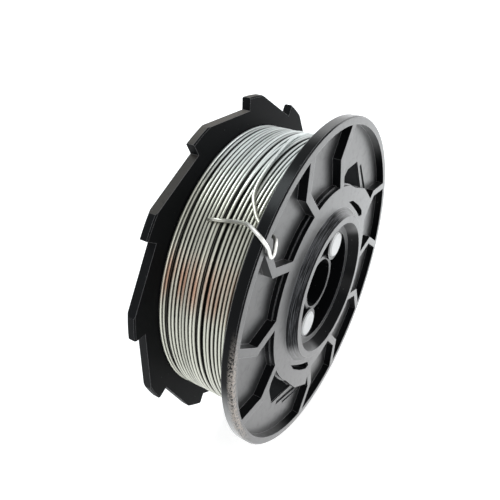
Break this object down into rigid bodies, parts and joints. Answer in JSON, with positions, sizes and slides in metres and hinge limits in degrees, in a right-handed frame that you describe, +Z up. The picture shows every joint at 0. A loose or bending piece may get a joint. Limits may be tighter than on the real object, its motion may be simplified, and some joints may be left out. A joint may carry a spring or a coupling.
{
  "type": "spool of rebar tie wire",
  "caption": "Black moulded spool with one plain and one ratchet-toothed flange, wound with thin steel tie wire; standing on its flanges.",
  "frame": {"origin": "on the floor under the middle of the spool's width, as the spool stands on its flanges", "axes": "Y along the spool's axis, from the round flange to the toothed flange; +Z up"},
  "size_m": [0.1004, 0.0336, 0.1004],
  "materials": {
    "spool_plastic": "glossy black moulding, scuffed along the round rim",
    "plug_plastic": "white, satin",
    "tie_wire": "drawn annealed steel wire, lightly oiled"
  },
  "bodies": {
    "root": {"spool": "spool_plastic", "marker_plug_upper": "plug_plastic", "marker_plug_lower": "plug_plastic", "wire_winding": "tie_wire", "wire_end_hooked": "tie_wire", "wire_end_tucked": "tie_wire"}
  },
  "joints": []
}
